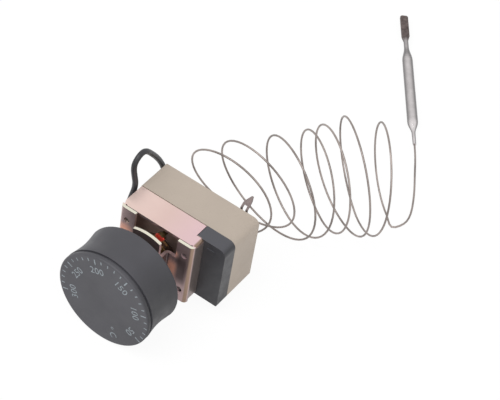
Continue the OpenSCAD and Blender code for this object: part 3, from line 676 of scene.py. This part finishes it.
def bracket_finish(tones):
    """Passivated sheet, with painted reflections, shade and highlights that differ on each kind of face."""
    sheet = Finish("passivated_sheet", metallic=SHEET_METALLIC, roughness=0.34)
    veil = sheet.noise(26.0, detail=4.0, distortion=0.6)
    x = sheet.axis(sheet.coords, "X")
    y = sheet.axis(sheet.coords, "Y")
    z = sheet.axis(sheet.coords, "Z")
    across = sheet.normal("X")
    upward = sheet.normal("Z")
    to_front = sheet.span(sheet.normal("Y"), *FACING_FRONT)

    # Upper and lower faces: warm at the left, pink and violet to the right
    pink = sheet.ramp(sheet.over(sheet.strayed(x, veil, 9), (-20, 20)), (
        (0.0, tones.sheet_left), (0.45, tones.sheet), (1.0, tones.sheet_right)))

    # Front faces: a painted dark reflection, lighter on the right ear, with orange patches and a painted dark
    # band of reflection
    height = sheet.strayed(z, veil, 5)
    front_reflection = sheet.ramp(sheet.over(height, (-16, 16)), (
        (0.0, scaled(tones.front_reflection, 0.8)), (0.3, scaled(tones.front_reflection, 1.1)), (1.0, tones.front_reflection)))
    # Painted lighter reflection on the right ear
    on_ear = sheet.product(sheet.over(x, EAR_X), sheet.over(y, EAR_Y))
    front_reflection = sheet.mix(on_ear, front_reflection, scaled(tones.front_reflection, 1.8))
    patches = 0.0
    for centre_x, centre_z, reach in WARM_PATCHES:
        from_x = sheet.math("SUBTRACT", x, centre_x * MM)
        from_z = sheet.math("SUBTRACT", height, centre_z * MM)
        squares = sheet.math("ADD", sheet.product(from_x, from_x), sheet.product(from_z, from_z))
        near = sheet.over(sheet.math("SQRT", squares), (reach, PATCH_CORE * reach))
        front_reflection = sheet.mix(near, front_reflection, tones.warm)
        patches = sheet.math("MAXIMUM", near, patches)
    # Painted dark band of reflection down the right ear
    from_band = sheet.math("ABSOLUTE", sheet.math("SUBTRACT", x, BAND_X * MM))
    in_band = sheet.product(sheet.over(from_band, BAND_HALF), sheet.over(z, BAND_FOOT_Z),
                            sheet.over(z, BAND_TOP_Z))
    front_reflection = sheet.mix(in_band, front_reflection, scaled(tones.front_reflection, 0.75))
    skin = sheet.mix(to_front, pink, front_reflection)
    sheet.link(sheet.span(sheet.product(patches, to_front), 0.0, 1.0, SHEET_METALLIC, PATCH_METALLIC),
               sheet.shader.inputs["Metallic"])

    # Legs of the strap: painted shade, darker than the front faces
    of_leg = sheet.product(sheet.over(sheet.math("ABSOLUTE", x), LEG_X), sheet.over(y, LEG_FRONT_Y),
                           sheet.over(y, LEG_BACK_Y))
    level = sheet.span(sheet.math("ABSOLUTE", upward), *FACING_LEVEL)
    skin = sheet.mix(sheet.product(of_leg, level), skin, scaled(tones.front_reflection, 0.55))

    # Side walls: a painted tan highlight at their bends, a painted brown reflection beyond
    outside = sheet.over(x, SIDE_X)
    to_bend_highlight = sheet.product(sheet.span(across, *BEND_HIGHLIGHT_FROM), sheet.span(across, *BEND_HIGHLIGHT_TO), outside)
    skin = sheet.mix(to_bend_highlight, skin, tones.bend)
    # Painted brown reflection on the side walls
    skin = sheet.mix(sheet.product(sheet.span(across, *FACING_SIDE), outside), skin, tones.side)

    # Bare cut edges of the strap and the ears, with a painted highlight where they face up
    of_ears = sheet.product(sheet.over(z, EAR_CUT_Z), sheet.over(y, EAR_CUT_Y))
    of_cuts = sheet.math("MAXIMUM", sheet.over(y, STRAP_CUT_Y), of_ears)
    sheet.colour(sheet.mix(sheet.product(sheet.span(upward, *FACING_UP), of_cuts), skin, tones.edge))

    grain = sheet.noise(260.0, detail=3.0, vector=sheet.mapped(scale=(0.25, 3.0, 3.0)))
    sheet.rough(grain, 0.28, 0.42)
    return sheet.bump(grain, 0.12, 0.00006)


def bulb_finish(tones):
    """Drawn steel, lighter in the middle with painted shade towards its outline, and a burnt tail."""
    bulb = Finish("bulb_steel", metallic=1.0, roughness=0.24)
    # The pattern's zero moves to the bulb's start, after the turn into its direction
    start = Matrix.Rotation(-BULB_BEARING, 3, "Z") @ (Vector(BULB_START) * MM)
    along = bulb.axis(bulb.mapped(rotation=(0, 0, -BULB_BEARING), location=-start), "X")
    drawn = bulb.noise(240.0, detail=3.0)
    steel = bulb.mottled(drawn, tones.bulb, 0.86, 1.1)
    burnt = bulb.noise(420.0, detail=4.0)
    tail = bulb.mottled(burnt, tones.tail, 0.6, 1.9)
    place = bulb.strayed(along, burnt, 1.5)
    to_tail = bulb.over(place, BULB_TAIL)
    to_neck = bulb.product(bulb.over(place, BULB_NECK), 0.45)
    steel = bulb.mix(to_neck, steel, scaled(tones.bulb, 0.45))
    # Painted shade: darker where the surface turns away from the view, towards the bulb's outline
    facing = bulb.add("ShaderNodeLayerWeight").outputs["Facing"]
    steel = bulb.mix(bulb.span(facing, 0.25, 0.55), steel, scaled(tones.bulb, 0.26))
    bulb.colour(bulb.mix(to_tail, steel, tail))
    bulb.link(bulb.span(to_tail, 0.0, 1.0, 0.22, 0.5), bulb.shader.inputs["Roughness"])
    return bulb.bump(drawn, 0.15, 0.00005)


class MESH_OT_metal_finishes(bpy.types.Operator):
    """Give the bracket, the fasteners, the mechanism, the terminals and the bulb their metal finishes"""
    bl_idname = "mesh.metal_finishes"
    bl_label = "Metal Finishes"

    def execute(self, context):
        tones = context.scene.thermostat_metals
        dress("bracket", bracket_finish(tones))

        steel = turned_metal("plated_steel", tones.steel, 0.3)
        for node in ("spindle", "retaining_ring", "stop_arm", "stop_pin", "contact_pivot", "return_spring",
                     "terminal_screw", "jumper_lug"):
            dress(node, steel)
        dress("tie_screws", turned_metal("dark_screws", scaled(tones.steel, 0.2), 0.45))
        brass = turned_metal("turned_brass", tones.brass, 0.3)
        for node in ("spindle_bush", "adjusting_nut", "arm_terminal"):
            dress(node, brass)
        dress("calibration_screw", turned_metal("tarnished_brass", scaled(tones.brass, 0.35), 0.45))
        dress("contact_arm", turned_metal("copper_alloy", tones.copper, 0.32))
        dress("diaphragm_capsule", turned_metal("dark_capsule", tones.capsule, 0.4))
        dress("load_terminal", turned_metal("oxidised_terminal", tones.blade, 0.42))
        dress("capillary_tube", tube_finish(tones))

        wire = Finish("wire_core", roughness=0.4)
        wire.colour(wire.ramp(wire.noise(60.0), ((0.3, 0.008), (0.7, 0.02))))
        dress("jumper_wire", wire)
        dress("bulb", bulb_finish(tones))
        return {"FINISHED"}


# Stage

# Camera fitted to the photograph: its axes and its place in metres
CAMERA_RIGHT = (0.80918, 0.57307, 0.12971)
CAMERA_UP = (-0.49297, 0.54203, 0.68057)
CAMERA_BACK = (0.31970, -0.61465, 0.72110)
CAMERA_PLACE = (0.29354, -0.47298, 0.63183)
SENSOR_WIDTH = 36.0
CLIP_START = 0.02
# Lamps: name, place, target and width in metres, power in watts
LAMPS = (("key", (-0.3, -0.62, 1.2), (0.0, 0.03, 0.0), 1.0, 9.0),
         ("fill", (1.0, -0.5, 0.75), (0.0, 0.05, 0.0), 0.9, 3.2))
FLOOR_WIDTH = 6.0
FLOOR_GLOW = 1.03
# Shares of the white that camera rays and that reflections see
FLOOR_SHARES = (0.9, 0.45)
WORLD_SHARES = (1.0, 0.6)
SKY_STRENGTH = 0.55


def ray_share(tree, direct, bounced):
    """A factor that is one value for camera rays, another for glossy and transmitted ones, else nothing."""
    def joined(kind, a, b):
        node = tree.nodes.new("ShaderNodeMath")
        node.operation = kind
        tree.links.new(a, node.inputs[0])
        if hasattr(b, "is_output"):
            tree.links.new(b, node.inputs[1])
        else:
            node.inputs[1].default_value = b
        return node.outputs[0]

    path = tree.nodes.new("ShaderNodeLightPath").outputs
    kinds = joined("MAXIMUM", path["Is Glossy Ray"], path["Is Transmission Ray"])
    return joined("MAXIMUM", joined("MULTIPLY", path["Is Camera Ray"], direct),
                  joined("MULTIPLY", kinds, bounced))


def lit_by_rays(tree, out_kind, shares, usual, white):
    """Ends a tree with a blend of its usual shader and a white one, by the kind of ray."""
    mix = tree.nodes.new("ShaderNodeMixShader")
    tree.links.new(ray_share(tree, *shares), mix.inputs[0])
    tree.links.new(usual.outputs[0], mix.inputs[1])
    tree.links.new(white.outputs[0], mix.inputs[2])
    tree.links.new(mix.outputs[0], tree.nodes.new(out_kind).inputs[0])


def add_camera(scene, lens):
    data = bpy.data.cameras.new("photo_camera")
    data.lens = lens
    data.sensor_width = SENSOR_WIDTH
    data.sensor_fit = "HORIZONTAL"
    data.clip_start = CLIP_START
    camera = bpy.data.objects.new("photo_camera", data)
    scene.collection.objects.link(camera)
    turn = Matrix((CAMERA_RIGHT, CAMERA_UP, CAMERA_BACK)).transposed().to_4x4()
    camera.matrix_world = Matrix.Translation(CAMERA_PLACE) @ turn
    scene.camera = camera


def add_floor(drop, tone):
    deselect()
    bpy.ops.mesh.primitive_plane_add(size=FLOOR_WIDTH, location=(0, 0, -drop))
    floor = bpy.context.view_layer.objects.active
    floor.name = "floor"
    mat = bpy.data.materials.new("pale_floor")
    mat.use_nodes = True
    tree = mat.node_tree
    tree.nodes.clear()
    paint = tree.nodes.new("ShaderNodeBsdfDiffuse")
    paint.inputs["Color"].default_value = colour_of(tone)
    glow = tree.nodes.new("ShaderNodeEmission")
    glow.inputs["Strength"].default_value = FLOOR_GLOW
    lit_by_rays(tree, "ShaderNodeOutputMaterial", FLOOR_SHARES, paint, glow)
    floor.data.materials.append(mat)


def add_world(scene):
    scene.world = bpy.data.worlds.new("studio")
    scene.world.use_nodes = True
    tree = scene.world.node_tree
    tree.nodes.clear()
    skies = []
    for strength in (SKY_STRENGTH, 1.0):
        sky = tree.nodes.new("ShaderNodeBackground")
        sky.inputs["Color"].default_value = colour_of(1.0)
        sky.inputs["Strength"].default_value = strength
        skies.append(sky)
    lit_by_rays(tree, "ShaderNodeOutputWorld", WORLD_SHARES, *skies)


def add_lamp(scene, name, place, target, width, power):
    data = bpy.data.lights.new(name, "AREA")
    data.shape = "SQUARE"
    data.size = width
    data.energy = power
    lamp = bpy.data.objects.new(name, data)
    scene.collection.objects.link(lamp)
    direction = Vector(target) - Vector(place)
    lamp.matrix_world = Matrix.Translation(place) @ direction.to_track_quat("-Z", "Y").to_matrix().to_4x4()


class MESH_OT_stage(bpy.types.Operator):
    """Set up the camera, the pale floor and the soft light"""
    bl_idname = "mesh.thermostat_stage"
    bl_label = "Stage"

    def execute(self, context):
        scene = context.scene
        stage = scene.thermostat_stage
        add_camera(scene, stage.lens)
        add_floor(stage.floor_z, stage.floor_tone)
        add_world(scene)
        for lamp in LAMPS:
            add_lamp(scene, *lamp)
        scene.view_settings.view_transform = "Standard"
        return {"FINISHED"}


# Panel and registration

STEPS = (MESH_OT_stage, MESH_OT_sensing_tube, MESH_OT_jumper_wire, MESH_OT_dial_print, MESH_OT_locking_paint,
         MESH_OT_moulded_finishes, MESH_OT_metal_finishes)
GROUPS = (("thermostat_stage", StageSettings), ("thermostat_dial", DialSettings),
          ("thermostat_mouldings", MouldingSettings), ("thermostat_metals", MetalSettings))


class VIEW3D_PT_thermostat(bpy.types.Panel):
    """Lists the settings and the steps of the thermostat"""
    bl_label = "Thermostat"
    bl_idname = "VIEW3D_PT_thermostat"
    bl_space_type = "VIEW_3D"
    bl_region_type = "UI"
    bl_category = "Thermostat"

    def draw(self, context):
        for name, group in GROUPS:
            box = self.layout.box()
            settings = getattr(context.scene, name)
            for key in group.__annotations__:
                box.prop(settings, key)
        for step in STEPS:
            self.layout.operator(step.bl_idname)


CLASSES = tuple(group for _, group in GROUPS) + STEPS + (VIEW3D_PT_thermostat,)


def register():
    for cls in CLASSES:
        bpy.utils.register_class(cls)
    for name, group in GROUPS:
        setattr(bpy.types.Scene, name, bpy.props.PointerProperty(type=group))


def unregister():
    for name, _ in GROUPS:
        delattr(bpy.types.Scene, name)
    for cls in reversed(CLASSES):
        bpy.utils.unregister_class(cls)


def main():
    register()
    bpy.ops.mesh.thermostat_stage()
    bpy.ops.mesh.sensing_tube()
    bpy.ops.mesh.jumper_wire()
    bpy.ops.mesh.dial_print()
    bpy.ops.mesh.locking_paint()
    bpy.ops.mesh.moulded_finishes()
    bpy.ops.mesh.metal_finishes()


if __name__ == "__main__":
    main()
